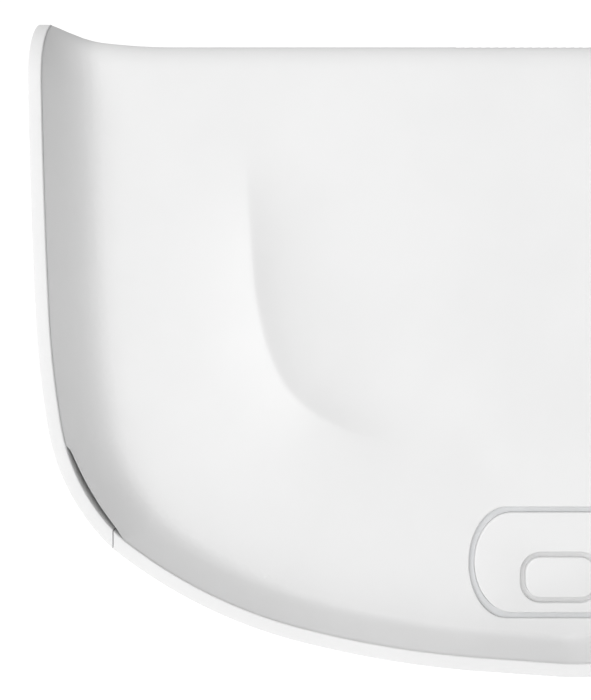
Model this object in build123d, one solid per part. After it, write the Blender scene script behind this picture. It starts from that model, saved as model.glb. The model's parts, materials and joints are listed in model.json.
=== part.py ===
"""Video doorbell: a scoop-faced housing on a wall bracket, with a slide-out battery cartridge.

Millimetres. +X is to the right seen from the front, +Z is up, and the front looks along -Y.
The origin is the centre of the bracket's back face, which lies on the wall.
Depths are given as "out", the distance in front of the wall, so out = -Y.
"""

import os
from math import cos, radians, sin

from build123d import *

# ---------------------------------------------------------------- driving dimensions
BOTTOM = -34.3              # lowest point of the outline, at mid-width
TOP = 34.4                  # top of the housing, level across the middle
FLARE_X = 43.0              # from here outwards the top curves up to meet the rim
FLARE_RADIUS = 65.0
RIM_TOP = 35.65
DEPTH = 28.0                # wall to the front of the rim
RIM_THICKNESS = 1.4         # side cheeks and bottom cover
BACK_GAP = 0.8              # cheeks and bottom cover stop short of the wall

# Right half of the outline, walked from the bottom centre: (length, heading at its end).
OUTLINE_RUNS = [
    (2.0, 4.0), (7.7, 4.0), (19.7, 14.5), (21.4, 38.0), (1.2, 45.0),
    (14.0, 80.5), (12.5, 87.3), (38.0, 90.0),
]
SEAM_X = 48.5               # joint between cheeks and bottom cover
SEAM_GAP = 0.05             # each side of the seam

FACE_OUT = 22.1             # flat floor of the scooped face
ROLL_RADIUS = 3.2           # face rolls back to the top
RIM_ROLL = 8.5              # and so does the rim, on an arc cut short by its level top
RIM_ROLL_CREST = 36.5       # height at which that arc would turn level
COVER_BACK = FACE_OUT - ROLL_RADIUS
COVER_SKIN = 1.8
COVER_EDGE_OUT = 27.6       # the scoop's lip stands just behind the rim
COVER_INSET = 1.5
SCOOP_WALL = 0.6
COVE_RADIUS = 1.6
COVER_FLANGE = 2.0          # full-thickness edge of the cover, around its hollow back

TUB_INSET = 1.45
TUB_WALL = 1.6
TUB_BACK = 3.0
TUB_FLOOR = 4.8             # inner face of the tub's back wall
TUB_FRONT = COVER_BACK - 0.05
SEAL_DEPTH = 0.6

BRACKET_THICKNESS = 2.5
BRACKET_INSET = 7.0
BRACKET_TOP = 27.0
SCREW_SPACING = 83.34       # 3-9/32 in, the single-gang cover plate spacing
WALL_SCREW_RADIUS = 2.1
WIRE_HOLE = (26.0, 18.0)    # width and height
WIRE_HOLE_Z = 15.0

LIFT = 4.2                  # travel that frees the housing from the hooks
HOOK_X = 30.0
HOOK_WIDTH = 8.0
HOOK_NECK = (14.0, 16.0)    # low and high Z
HOOK_LIP_TOP = 19.6
HOOK_OUT = (5.1, 6.6)

BAY_HALF_WIDTH = 38.2
BAY_TOP = 3.4
BAY_FRONT = 13.8
BAY_WALL = 1.0
TRAY_CLEARANCE = 0.3
TRAY_BACK = 5.1
TRAY_FRONT = 13.6
TRAY_TOP = 2.6
TRAY_SKIN = 0.8             # wall behind the cells
TRAY_CHANNEL = (12.0, 9.8)  # width, and how far out its front wall is
CELL_SIZE = (28.8, 22.0, 6.6)
CELL_X = 22.0
CELL_Z = -12.4
CONTACT_X = (12.0, 15.0, 18.0)
CONTACT_OUT = 11.5
TAB_WIDTH = 10.0
TAB_Z = (-23.9, -21.9)
SCREW_OUT = 6.9             # security screw axis

BOARD_OUT = (15.3, 16.3)
COVER_SCREWS = [(49.5, 28.0), (42.0, -19.3)]    # right side, mirrored to the left
BOARD_SCREWS = [(36.0, 27.0), (46.5, 14.0)]

BUTTON_Z = -23.55
BUTTON_GROOVE = (19.7, 11.7)
BUTTON_GROOVE_WIDTH = 0.65
BUTTON_END = 4.2            # half-ellipse at each end of the button
BUTTON_BACK = 17.6
RING_BACK = 18.5            # light ring's back, just in front of the button's flange
GROOVE_DEPTH = 0.45         # down to the light ring, and to the floor of the inlay's pocket
INLAY_Z = -25.2
INLAY_GROOVE = (8.35, 5.05)
INLAY_GROOVE_WIDTH = 0.58
INLAY_CORNER = 2.0

CAMERA = (20.0, 12.0)
CAMERA_WINDOW_RADIUS = 9.0
PIR = (13.5, -5.0)
PIR_RADIUS = 4.0
MICROPHONE = (26.0, -2.0)
MICROPHONE_HOLE = 0.6       # radius
SPEAKER = (-44.15, -4.0)
SPEAKER_SIZE = (8.5, 21.0)
SPEAKER_FRONT = 15.4

FLARE_ANGLE = 16.0          # more than enough to reach the rim
BEYOND = 60.0               # a reach that clears the whole doorbell

SETUP_BUTTON = (-19.0, 21.0)
SETUP_RADIUS = 2.2
TERMINALS = (20.0, 10.0)    # width and height of their block
TERMINALS_Z = 15.0

parts = {}


# ---------------------------------------------------------------- helpers
def outline(inset, top=TOP):
    """Front outline of the doorbell, moved inwards by inset and cut flat at top."""
    right = []
    point, heading = Vector(0, BOTTOM + inset), 0.0
    for length, end_heading in OUTLINE_RUNS:
        direction = (cos(radians(heading)), sin(radians(heading)))
        turn = end_heading - heading
        if turn == 0:
            run = Line(point, point + Vector(*direction) * length)
        else:
            radius = length / radians(turn) - inset
            run = JernArc(point, direction, radius, turn)
        right.append(run)
        point, heading = run @ 1, end_heading
    left = [mirror(run, about=Plane.YZ) for run in right]
    closing = Line(point, Vector(-point.X, point.Y))
    whole = make_face(Curve() + right + left + [closing])
    return whole & rectangle(-BEYOND, BEYOND, -BEYOND, top)


def flared_outline(inset):
    """The outline cut along the housing's top, which curves up at both ends."""
    middle = Line((-FLARE_X, TOP), (FLARE_X, TOP))
    right = JernArc((FLARE_X, TOP), (1, 0), FLARE_RADIUS, FLARE_ANGLE)
    left = mirror(right, about=Plane.YZ)
    end = right @ 1
    low = Polyline(end, (end.X, -BEYOND), (-end.X, -BEYOND), (-end.X, end.Y))
    return outline(inset, RIM_TOP) & make_face(Curve() + [middle, right, left, low])


def rectangle(x_low, x_high, z_low, z_high):
    """A rectangle in the plane of the face, by its edges."""
    centre = Pos((x_low + x_high) / 2, (z_low + z_high) / 2)
    return centre * Rectangle(x_high - x_low, z_high - z_low)


def slab(shape, out_back, out_front):
    """A flat shape seen from the front, made solid between two depths."""
    return extrude(Plane.XZ.offset(out_back) * shape, out_front - out_back)


def block(x, z, out):
    """A box by its low and high X, Z and depth."""
    return slab(rectangle(*x, *z), *out)


def peg(x, z, radius, out_back, out_front):
    """A cylinder whose axis runs from the wall to the front."""
    return slab(Pos(x, z) * Circle(radius), out_back, out_front)


def upright(x, out, radius, z_low, z_high):
    """A cylinder whose axis is vertical."""
    return Pos(x, -out, (z_low + z_high) / 2) * Cylinder(radius, z_high - z_low)


def both_sides(places):
    """Right-side places and their mirror images."""
    return [(side * x, z) for x, z in places for side in (1, -1)]


def roll_section(front, top, radius):
    """What a roll takes off a corner, as a flat shape over depth and height."""
    spare = radius + 1
    corner = rectangle(-spare, 0, 0, spare) - Circle(radius)
    return Pos(radius - front, top - radius) * corner


def rolled_rim():
    """What is cut away to roll the rim back to its level top."""
    return extrude(Plane.YZ * roll_section(DEPTH, RIM_ROLL_CREST, RIM_ROLL), BEYOND, both=True)


def rolled_top(front):
    """What is cut away to roll a surface at depth front back to the flared top."""
    section = roll_section(front, TOP, ROLL_RADIUS)
    middle = extrude(Plane.YZ * section, FLARE_X, both=True)
    pivot = Axis((FLARE_X, 0, TOP + FLARE_RADIUS), (0, -1, 0))
    right = revolve(Plane.YZ.offset(FLARE_X) * section, pivot, FLARE_ANGLE)
    return middle + right + mirror(right, about=Plane.YZ)


def pill(width, height):
    """The button's outline: straight top and bottom, half-ellipse ends."""
    middle = Rectangle(width - 2 * BUTTON_END, height)
    end = Ellipse(BUTTON_END, height / 2)
    reach = width / 2 - BUTTON_END
    return middle + Pos(reach, 0) * end + Pos(-reach, 0) * end


def button_pill(growth):
    """The button groove's centre line, grown by a margin on every side."""
    width, height = BUTTON_GROOVE
    return Pos(0, BUTTON_Z) * pill(width + 2 * growth, height + 2 * growth)


def inlay_pill(growth):
    """The inlay groove's centre line, grown by a margin on every side."""
    width, height = INLAY_GROOVE
    return Pos(0, INLAY_Z) * RectangleRounded(
        width + 2 * growth, height + 2 * growth, INLAY_CORNER + growth)


def corner_slit(side, margin):
    """Lens-shaped gap between rim and scoop at a lower corner, where sound and water leave.

    The margin widens it on the inner side.
    """
    low, high = Vector(47.9, -19.6), Vector(53.4, -10.2)
    edge = ThreePointArc(low, Vector(51.35, -15.35), high)
    inner = ThreePointArc(low, Vector(50.75 - margin, -14.8 + margin * 0.6), high)
    lens = make_face(Curve() + [edge, inner])
    return lens if side > 0 else mirror(lens, about=Plane.YZ)


# ---------------------------------------------------------------- wall bracket
def bracket_plate():
    plate = slab(outline(BRACKET_INSET, BRACKET_TOP), 0, BRACKET_THICKNESS)
    width, height = WIRE_HOLE
    plate -= slab(Pos(0, WIRE_HOLE_Z) * RectangleRounded(width, height, 3), -1, BRACKET_THICKNESS + 1)
    for side in (-1, 1):
        plate -= peg(side * SCREW_SPACING / 2, 0, WALL_SCREW_RADIUS, -1, BRACKET_THICKNESS + 1)
    plate -= peg(*SETUP_BUTTON, SETUP_RADIUS + 2.8, -1, BRACKET_THICKNESS + 1)
    hook_x = HOOK_WIDTH / 2
    for x in (-HOOK_X, HOOK_X):
        span = (x - hook_x, x + hook_x)
        plate += block(span, HOOK_NECK, (BRACKET_THICKNESS - 0.1, HOOK_OUT[1]))
        plate += block(span, (HOOK_NECK[0], HOOK_LIP_TOP), HOOK_OUT)
    tab = block((-TAB_WIDTH / 2, TAB_WIDTH / 2), TAB_Z, (BRACKET_THICKNESS - 0.1, 9.3))
    tab -= upright(0, SCREW_OUT, 1.4, TAB_Z[0] - 1, TAB_Z[1] + 1)
    return plate + tab


# ---------------------------------------------------------------- housing shells
def rear_housing():
    tub = slab(flared_outline(TUB_INSET), TUB_BACK, TUB_FRONT)
    tub -= slab(outline(TUB_INSET + TUB_WALL, TOP - TUB_WALL), TUB_FLOOR, TUB_FRONT + 1)
    tub += battery_bay_walls()
    for x, z in both_sides(COVER_SCREWS):
        tub += peg(x, z, 2.6, TUB_FLOOR - 0.1, TUB_FRONT)
    for x, z in both_sides(BOARD_SCREWS):
        tub += peg(x, z, 2.2, TUB_FLOOR - 0.1, BOARD_OUT[0])
    for x, z in both_sides(COVER_SCREWS):
        tub -= peg(x, z, 1.3, TUB_BACK - 1, TUB_FRONT + 1)
        tub -= peg(x, z, 2.3, TUB_BACK - 1, TUB_BACK + 1.4)
    for x, z in both_sides(BOARD_SCREWS):
        tub -= peg(x, z, 0.9, BOARD_OUT[0] - 5, BOARD_OUT[0] + 1)
    for part in tub_openings():
        tub -= part
    return tub


def battery_bay_walls():
    """Ceiling, front and sides that part the battery bay from the electronics."""
    wide = BAY_HALF_WIDTH + BAY_WALL
    shape = outline(TUB_INSET) & rectangle(-wide, wide, -BEYOND, BAY_TOP + BAY_WALL)
    return slab(shape, TUB_FLOOR - 0.1, BAY_FRONT + BAY_WALL)


def tub_openings():
    """Everything cut through the tub: battery bay, hook slots, tab slot, terminals, setup button."""
    cuts = [block((-BAY_HALF_WIDTH, BAY_HALF_WIDTH), (-BEYOND, BAY_TOP), (TUB_FLOOR, BAY_FRONT))]
    reach = HOOK_WIDTH / 2 + 0.6
    slot_z = (HOOK_NECK[0] - LIFT - 0.4, HOOK_NECK[1] + 0.05)
    for x in (-HOOK_X, HOOK_X):
        cuts.append(block((x - reach, x + reach), slot_z, (0, TUB_FLOOR)))
    reach = TAB_WIDTH / 2 + 0.6
    cuts.append(block((-reach, reach), (-BEYOND, TAB_Z[1] + 0.4), (0, TUB_FLOOR)))
    reach, tall = TERMINALS[0] / 2 + 0.2, TERMINALS[1] / 2 + 0.2
    cuts.append(block((-reach, reach), (TERMINALS_Z - tall, TERMINALS_Z + tall), (0, TUB_FLOOR + 0.1)))
    cuts.append(peg(*SETUP_BUTTON, SETUP_RADIUS + 0.1, 0, TUB_FLOOR + 0.1))
    for x in CONTACT_X:
        cuts.append(upright(x, CONTACT_OUT, 0.6, BAY_TOP - 1, BAY_TOP + BAY_WALL + 1))
    for side in (-1, 1):
        cuts.append(slab(corner_slit(side, 1.6), TUB_FRONT - 2.5, TUB_FRONT + 1))
    cuts.append(slab(seal_ring(), TUB_FRONT - SEAL_DEPTH, TUB_FRONT + 1))
    return cuts


def seal_ring():
    """The seal's path in the middle of the tub's rim, seen from the front."""
    return outline(TUB_INSET + 0.4, TOP - 0.4) - outline(TUB_INSET + 1.2, TOP - 1.2)


def front_cover():
    cover = slab(flared_outline(COVER_INSET), COVER_BACK, COVER_EDGE_OUT)
    scoop_outline = outline(COVER_INSET + SCOOP_WALL, RIM_TOP + 1)
    scoop = slab(scoop_outline, FACE_OUT, COVER_EDGE_OUT + 5)
    floor_edges = scoop.faces().sort_by(Axis.Y)[-1].edges()
    top_line = floor_edges.sort_by(Axis.Z)[-1]
    scoop = fillet([edge for edge in floor_edges if edge != top_line], COVE_RADIUS)
    cover -= scoop
    cover -= rolled_top(FACE_OUT) & slab(scoop_outline, 0, DEPTH)
    cover -= rolled_rim()
    relief = outline(COVER_INSET + COVER_FLANGE, TOP - ROLL_RADIUS - 0.5)
    for x, z in both_sides(COVER_SCREWS):
        relief -= Pos(x, z) * Circle(2.6)
    cover -= slab(relief, COVER_BACK - 1, FACE_OUT - COVER_SKIN)
    for x, z in both_sides(COVER_SCREWS):
        cover -= peg(x, z, 1.2, COVER_BACK - 1, FACE_OUT - 0.9)
    cover -= slab(button_pill(BUTTON_GROOVE_WIDTH / 2), COVER_BACK - 1, FACE_OUT + 1)
    cover -= peg(*CAMERA, CAMERA_WINDOW_RADIUS + 0.6, COVER_BACK - 1, FACE_OUT + 1)
    cover -= peg(*PIR, PIR_RADIUS, COVER_BACK - 1, FACE_OUT + 1)
    cover -= peg(*MICROPHONE, MICROPHONE_HOLE, COVER_BACK - 1, FACE_OUT + 1)
    for side in (-1, 1):
        cover -= slab(corner_slit(side, 0), COVER_BACK - 1, DEPTH)
    return cover


def rim_band():
    """The whole rim, before the seams divide it into cheeks and bottom cover."""
    band = slab(outline(0, RIM_TOP) - outline(RIM_THICKNESS, RIM_TOP + 1), BACK_GAP, DEPTH)
    return band - rolled_rim()


def side_cheek(side):
    edge = SEAM_X + SEAM_GAP
    keep = rectangle(*sorted((side * edge, side * BEYOND)), -BEYOND, BEYOND)
    return rim_band() & slab(keep, 0, DEPTH + 1)


def housing_seal():
    ring = seal_ring()
    for side in (-1, 1):
        ring -= corner_slit(side, 1.6)
    return slab(ring, TUB_FRONT - SEAL_DEPTH, COVER_BACK)


def housing_screws():
    screws = []
    for x, z in both_sides(COVER_SCREWS):
        head = peg(x, z, 2.1, TUB_BACK + 0.2, TUB_BACK + 1.4)
        shank = peg(x, z, 1.2, TUB_BACK + 1.4, FACE_OUT - 1.2)
        socket = slab(Pos(x, z) * RegularPolygon(1.0, 6), TUB_BACK, TUB_BACK + 0.8)
        screws.append(head + shank - socket)
    return Compound(children=screws)


# ---------------------------------------------------------------- electronics
def main_board():
    board = outline(TUB_INSET + TUB_WALL + 0.4, TOP - TUB_WALL - 0.4)
    for x, z in both_sides(COVER_SCREWS):
        board -= Pos(x, z) * Circle(3.0)
    for x, z in both_sides(BOARD_SCREWS):
        board -= Pos(x, z) * Circle(1.0)
    board -= Pos(*CAMERA) * Circle(6.5)
    board -= rectangle(-BEYOND, BAY_WALL - BAY_HALF_WIDTH - 1.4, -40, 8)
    return slab(board, *BOARD_OUT)


def board_screws():
    screws = []
    for x, z in both_sides(BOARD_SCREWS):
        head = peg(x, z, 1.7, BOARD_OUT[1], BOARD_OUT[1] + 1.2)
        shank = peg(x, z, 0.9, BOARD_OUT[0] - 4.5, BOARD_OUT[1])
        socket = slab(Pos(x, z) * RegularPolygon(0.8, 6), BOARD_OUT[1] + 0.5, BOARD_OUT[1] + 2)
        screws.append(head + shank - socket)
    return Compound(children=screws)


def rf_shield():
    can = block((-34, -8), (3, 22), (BOARD_OUT[1], BOARD_OUT[1] + 1.9))
    can = fillet(can.edges().filter_by(Axis.Y), 1.2)
    return can - block((-33.7, -8.3), (3.3, 21.7), (BOARD_OUT[1] - 1, BOARD_OUT[1] + 1.6))


def wifi_antenna():
    """A printed strip folded back on itself, under the housing's top wall."""
    strip = block((-36, -12), (32.1, 32.5), (7, 14))
    for index in range(3):
        strip -= block((-33.5 + 7 * index, -29.5 + 7 * index), (32, 33), (8.2, 15))
    return strip


def speaker_opening():
    return Pos(*SPEAKER) * RectangleRounded(6.8, 18, 3)


def speaker():
    """Frame with a recessed diaphragm, beside the battery bay."""
    frame = slab(Pos(*SPEAKER) * Rectangle(*SPEAKER_SIZE), 7.2, SPEAKER_FRONT)
    frame -= slab(speaker_opening(), SPEAKER_FRONT - 0.8, SPEAKER_FRONT + 1)
    diaphragm = Pos(*SPEAKER) * RectangleRounded(4.6, 15, 2.2)
    return frame + slab(diaphragm, SPEAKER_FRONT - 0.9, SPEAKER_FRONT - 0.2)


def speaker_seal():
    ring = Pos(*SPEAKER) * Rectangle(*SPEAKER_SIZE) - speaker_opening()
    return slab(ring, SPEAKER_FRONT, SPEAKER_FRONT + 1.4)


def microphone():
    x, z = MICROPHONE
    can = block((x - 1.9, x + 1.9), (z - 1.5, z + 1.5), (BOARD_OUT[1], BOARD_OUT[1] + 1.1))
    return can - peg(x, z, 0.3, BOARD_OUT[1] + 0.6, BOARD_OUT[1] + 2)


def microphone_boot():
    x, z = MICROPHONE
    boot = peg(x, z, 1.7, BOARD_OUT[1] + 1.1, FACE_OUT - COVER_SKIN)
    return boot - peg(x, z, MICROPHONE_HOLE, BOARD_OUT[1], FACE_OUT)


def camera_window():
    window = peg(*CAMERA, CAMERA_WINDOW_RADIUS, FACE_OUT - 1.3, FACE_OUT - 0.1)
    return fillet(window.faces().sort_by(Axis.Y)[0].edges(), 0.3)


def camera_bezel():
    """Black cup behind the window, with holes for the lens and the infrared lights."""
    cup = peg(*CAMERA, CAMERA_WINDOW_RADIUS + 0.6, FACE_OUT - 3.0, FACE_OUT)
    cup -= peg(*CAMERA, CAMERA_WINDOW_RADIUS, FACE_OUT - 1.3, FACE_OUT + 1)
    cup -= peg(*CAMERA, 4.6, FACE_OUT - 4, FACE_OUT)
    for x, z in infrared_places():
        cup -= peg(x, z, 1.3, FACE_OUT - 4, FACE_OUT)
    return cup


def infrared_places():
    return [(CAMERA[0] + side * 6.8, CAMERA[1]) for side in (-1, 1)]


def lens_barrel():
    barrel = peg(*CAMERA, 4.4, 13.5, FACE_OUT - 1.6) + peg(*CAMERA, 5.6, 11.4, 13.5)
    return barrel - peg(*CAMERA, 2.6, FACE_OUT - 3.2, FACE_OUT)


def camera_lens():
    dome = Pos(CAMERA[0], -(FACE_OUT - 5.2), CAMERA[1]) * Sphere(3.2)
    return dome & peg(*CAMERA, 2.6, FACE_OUT - 3.2, FACE_OUT)


def camera_board():
    x, z = CAMERA
    return block((x - 7, x + 7), (z - 6.5, z + 6.5), (10.4, 11.4))


def infrared_leds():
    leds = []
    for x, z in infrared_places():
        leds.append(peg(x, z, 1.15, BOARD_OUT[1], FACE_OUT - 1.6))
    return Compound(children=leds)


def pir_sensor():
    can = peg(*PIR, 2.6, BOARD_OUT[1], BOARD_OUT[1] + 2.2)
    return can - block((PIR[0] - 1.4, PIR[0] + 1.4), (PIR[1] - 1, PIR[1] + 1), (18.2, 19))


def pir_lens():
    """Low dome of milky plastic, hollow behind, with a flange glued inside the cover."""
    ball = 10.0
    centre = FACE_OUT + 1.0 - ball
    outer = Pos(PIR[0], -centre, PIR[1]) * Sphere(ball)
    inner = Pos(PIR[0], -centre, PIR[1]) * Sphere(ball - 0.6)
    dome = (outer - inner) & peg(*PIR, PIR_RADIUS - 0.02, 18, DEPTH)
    skirt = peg(*PIR, PIR_RADIUS - 0.02, 19.9, 22.0) - peg(*PIR, PIR_RADIUS - 0.7, 19, 23)
    flange = peg(*PIR, PIR_RADIUS + 0.9, 19.4, 20.2) - peg(*PIR, PIR_RADIUS - 0.7, 19, 23)
    return dome + skirt + flange


# ---------------------------------------------------------------- bell button
def light_ring():
    """Clear light guide in the outer groove; its flange keeps the button in."""
    hole = button_pill(-BUTTON_GROOVE_WIDTH / 2 + 0.06)
    guide = button_pill(BUTTON_GROOVE_WIDTH / 2 - 0.02) - hole
    flange = button_pill(0.8) - hole
    return slab(guide, RING_BACK, FACE_OUT - GROOVE_DEPTH) + slab(flange, RING_BACK, FACE_OUT - COVER_SKIN - 0.02)


def button_cap():
    cap = slab(button_pill(-BUTTON_GROOVE_WIDTH / 2), BUTTON_BACK, FACE_OUT)
    cap += slab(button_pill(0.1), BUTTON_BACK, RING_BACK - 0.1)
    return cap - slab(inlay_pill(INLAY_GROOVE_WIDTH / 2), FACE_OUT - GROOVE_DEPTH, FACE_OUT + 1)


def button_inlay():
    return slab(inlay_pill(-INLAY_GROOVE_WIDTH / 2), FACE_OUT - GROOVE_DEPTH, FACE_OUT)


def button_switch():
    base = block((-2.6, 2.6), (BUTTON_Z - 2.6, BUTTON_Z + 2.6), (BOARD_OUT[1], 16.75))
    return base + peg(0, BUTTON_Z, 1.6, 16.7, 16.95)


def button_spring():
    """Silicone collar that pushes the button back out."""
    collar = Pos(0, BUTTON_Z) * (RectangleRounded(13, 8, 2.5) - RectangleRounded(10.5, 6, 1.5))
    return slab(collar, BOARD_OUT[1], BUTTON_BACK)


# ---------------------------------------------------------------- back of the housing
def terminal_block():
    base = slab(Pos(0, TERMINALS_Z) * Rectangle(*TERMINALS), TUB_BACK + 0.1, 8.6)
    for x in (-5, 5):
        base -= peg(x, TERMINALS_Z, 3.6, TUB_BACK - 1, 5.2)
        base -= peg(x, TERMINALS_Z, 1.25, TUB_BACK - 1, 8)
    return base


def terminal_screws():
    screws = []
    for x in (-5, 5):
        head = peg(x, TERMINALS_Z, 2.8, 3.9, 5.2)
        shank = peg(x, TERMINALS_Z, 1.25, 5.2, 7.8)
        slot = block((x - 3, x + 3), (TERMINALS_Z - 0.4, TERMINALS_Z + 0.4), (3, 4.5))
        screws.append(head + shank - slot)
    return Compound(children=screws)


def setup_button():
    x, z = SETUP_BUTTON
    stem = peg(x, z, 1.5, 5.5, 13.9)
    return peg(x, z, SETUP_RADIUS, TUB_BACK, 5.6) + peg(x, z, 3.0, TUB_FLOOR + 0.1, 5.7) + stem


def setup_switch():
    x, z = SETUP_BUTTON
    return block((x - 2, x + 2), (z - 2, z + 2), (14.6, BOARD_OUT[0]))


# ---------------------------------------------------------------- battery cartridge
def contact_pins():
    pins = []
    for x in CONTACT_X:
        barrel = upright(x, CONTACT_OUT, 0.55, BAY_TOP, BAY_TOP + 1.8)
        plunger = upright(x, CONTACT_OUT, 0.35, BAY_TOP - 0.4, BAY_TOP)
        pins.append(barrel + plunger)
    return Compound(children=pins)


def contact_pads():
    pads = []
    out = (CONTACT_OUT - 1, CONTACT_OUT + 1)
    for x in CONTACT_X:
        pads.append(block((x - 1, x + 1), (TRAY_TOP, TRAY_TOP + 0.3), out))
    return Compound(children=pads)


def bottom_cover():
    edge = SEAM_X - SEAM_GAP
    cover = rim_band() & slab(rectangle(-edge, edge, -BEYOND, 0), 0, DEPTH + 1)
    boss = block((-4.4, 4.4), (BOTTOM + 0.6, -28.9), (TRAY_BACK + 0.2, 9.4))
    cover += boss
    cover -= upright(0, SCREW_OUT, 1.35, BOTTOM - 1, -28)
    return cover - upright(0, SCREW_OUT, 2.3, BOTTOM - 1, BOTTOM + 2.4)


def battery_tray():
    reach = BAY_HALF_WIDTH - TRAY_CLEARANCE
    shape = outline(RIM_THICKNESS + 0.05) & rectangle(-reach, reach, -BEYOND, TRAY_TOP)
    tray = slab(shape, TRAY_BACK, TRAY_FRONT)
    half_channel, channel_front = TRAY_CHANNEL[0] / 2, TRAY_CHANNEL[1]
    tray -= block((-half_channel, half_channel), (-BEYOND, TRAY_TOP + 1), (0, channel_front))
    for side in (-1, 1):
        tray -= cell_box(side, 0.15)
    tray -= block((-5.7, 5.7), (-22.1, TRAY_TOP + 1), (10.3, TRAY_FRONT + 1))
    return tray


def cell_box(side, margin):
    """A cell's box on one side, grown by a margin."""
    width, height, thickness = CELL_SIZE
    x, half, tall = side * CELL_X, width / 2 + margin, height / 2 + margin
    out_back = TRAY_BACK + TRAY_SKIN
    out = (out_back - margin, out_back + thickness + margin)
    return block((x - half, x + half), (CELL_Z - tall, CELL_Z + tall), out)


def battery_cell(side):
    cell = cell_box(side, 0)
    return fillet(cell.edges().filter_by(Axis.Z), 2.0)


def battery_board():
    return block((-5.6, 5.6), (-22, -4.9), (10.4, 11.4))


def usb_port():
    middle = 11.9
    outer = Pos(0, -middle, -1.2) * extrude(RectangleRounded(9.0, 3.2, 1.5), 7.4 / 2, both=True)
    inner = Pos(0, -middle, -0.6) * extrude(RectangleRounded(8.4, 2.6, 1.25), 7.4 / 2, both=True)
    tongue = Pos(0, -middle, -1.6) * Box(6.6, 0.7, 5.4)
    return outer - inner + tongue


# ---------------------------------------------------------------- security screw
def security_screw():
    head = upright(0, SCREW_OUT, 2.2, BOTTOM + 0.5, BOTTOM + 2.3)
    shank = upright(0, SCREW_OUT, 1.25, BOTTOM + 2.2, -18.5)
    socket = Pos(0, -SCREW_OUT, BOTTOM + 0.5) * extrude(RegularPolygon(1.1, 6), 1.1)
    return head + shank - socket


def screw_retainer():
    z_low = -28.85
    return upright(0, SCREW_OUT, 2.2, z_low, z_low + 0.4) - upright(0, SCREW_OUT, 1.25, z_low - 1, z_low + 1)


# ---------------------------------------------------------------- write every piece
parts["bracket_plate"] = bracket_plate()
parts["rear_housing"] = rear_housing()
parts["front_cover"] = front_cover()
parts["left_cheek"] = side_cheek(-1)
parts["right_cheek"] = side_cheek(1)
parts["housing_seal"] = housing_seal()
parts["housing_screws"] = housing_screws()
parts["main_board"] = main_board()
parts["board_screws"] = board_screws()
parts["rf_shield"] = rf_shield()
parts["wifi_antenna"] = wifi_antenna()
parts["speaker"] = speaker()
parts["speaker_seal"] = speaker_seal()
parts["microphone"] = microphone()
parts["microphone_boot"] = microphone_boot()
parts["camera_window"] = camera_window()
parts["camera_bezel"] = camera_bezel()
parts["lens_barrel"] = lens_barrel()
parts["camera_lens"] = camera_lens()
parts["camera_board"] = camera_board()
parts["infrared_leds"] = infrared_leds()
parts["pir_sensor"] = pir_sensor()
parts["pir_lens"] = pir_lens()
parts["light_ring"] = light_ring()
parts["button_cap"] = button_cap()
parts["button_inlay"] = button_inlay()
parts["button_switch"] = button_switch()
parts["button_spring"] = button_spring()
parts["terminal_block"] = terminal_block()
parts["terminal_screws"] = terminal_screws()
parts["setup_button"] = setup_button()
parts["setup_switch"] = setup_switch()
parts["contact_pins"] = contact_pins()
parts["contact_pads"] = contact_pads()
parts["bottom_cover"] = bottom_cover()
parts["battery_tray"] = battery_tray()
parts["battery_cell_left"] = battery_cell(-1)
parts["battery_cell_right"] = battery_cell(1)
parts["battery_board"] = battery_board()
parts["usb_port"] = usb_port()
parts["security_screw"] = security_screw()
parts["screw_retainer"] = screw_retainer()

os.makedirs("parts", exist_ok=True)
for name, shape in parts.items():
    export_step(shape, f"parts/{name}.step")
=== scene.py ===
"""Looks of the video doorbell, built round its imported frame.

Shapes are worked out in millimetres, as (x, z) in the plane of the face and "out",
the distance in front of the wall, and become metres when a mesh is made.
"""

import json
import math

import bmesh
import bpy
import numpy as np
from mathutils import Matrix, Vector, geometry


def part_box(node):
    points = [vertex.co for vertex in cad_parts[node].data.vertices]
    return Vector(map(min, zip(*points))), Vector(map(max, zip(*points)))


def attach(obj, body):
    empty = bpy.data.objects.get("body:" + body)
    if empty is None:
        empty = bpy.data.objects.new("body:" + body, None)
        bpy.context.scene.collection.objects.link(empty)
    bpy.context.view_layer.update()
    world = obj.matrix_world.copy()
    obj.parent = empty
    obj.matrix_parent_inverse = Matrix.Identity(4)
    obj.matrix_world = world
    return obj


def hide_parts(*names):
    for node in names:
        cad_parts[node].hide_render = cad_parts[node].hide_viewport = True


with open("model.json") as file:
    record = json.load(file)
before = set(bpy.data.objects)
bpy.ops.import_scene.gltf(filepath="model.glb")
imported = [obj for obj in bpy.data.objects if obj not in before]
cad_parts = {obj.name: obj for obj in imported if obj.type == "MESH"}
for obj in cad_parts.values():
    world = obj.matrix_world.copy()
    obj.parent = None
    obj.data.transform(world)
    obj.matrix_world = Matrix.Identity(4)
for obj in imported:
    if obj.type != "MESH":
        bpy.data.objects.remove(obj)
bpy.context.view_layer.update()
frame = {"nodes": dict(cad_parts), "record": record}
MM = 0.001


# ---------------------------------------------------------------- sizes, from the frame
def low(node):
    """Lowest corner of a node, in millimetres."""
    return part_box(node)[0] / MM


def high(node):
    """Highest corner of a node, in millimetres."""
    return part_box(node)[1] / MM


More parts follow.
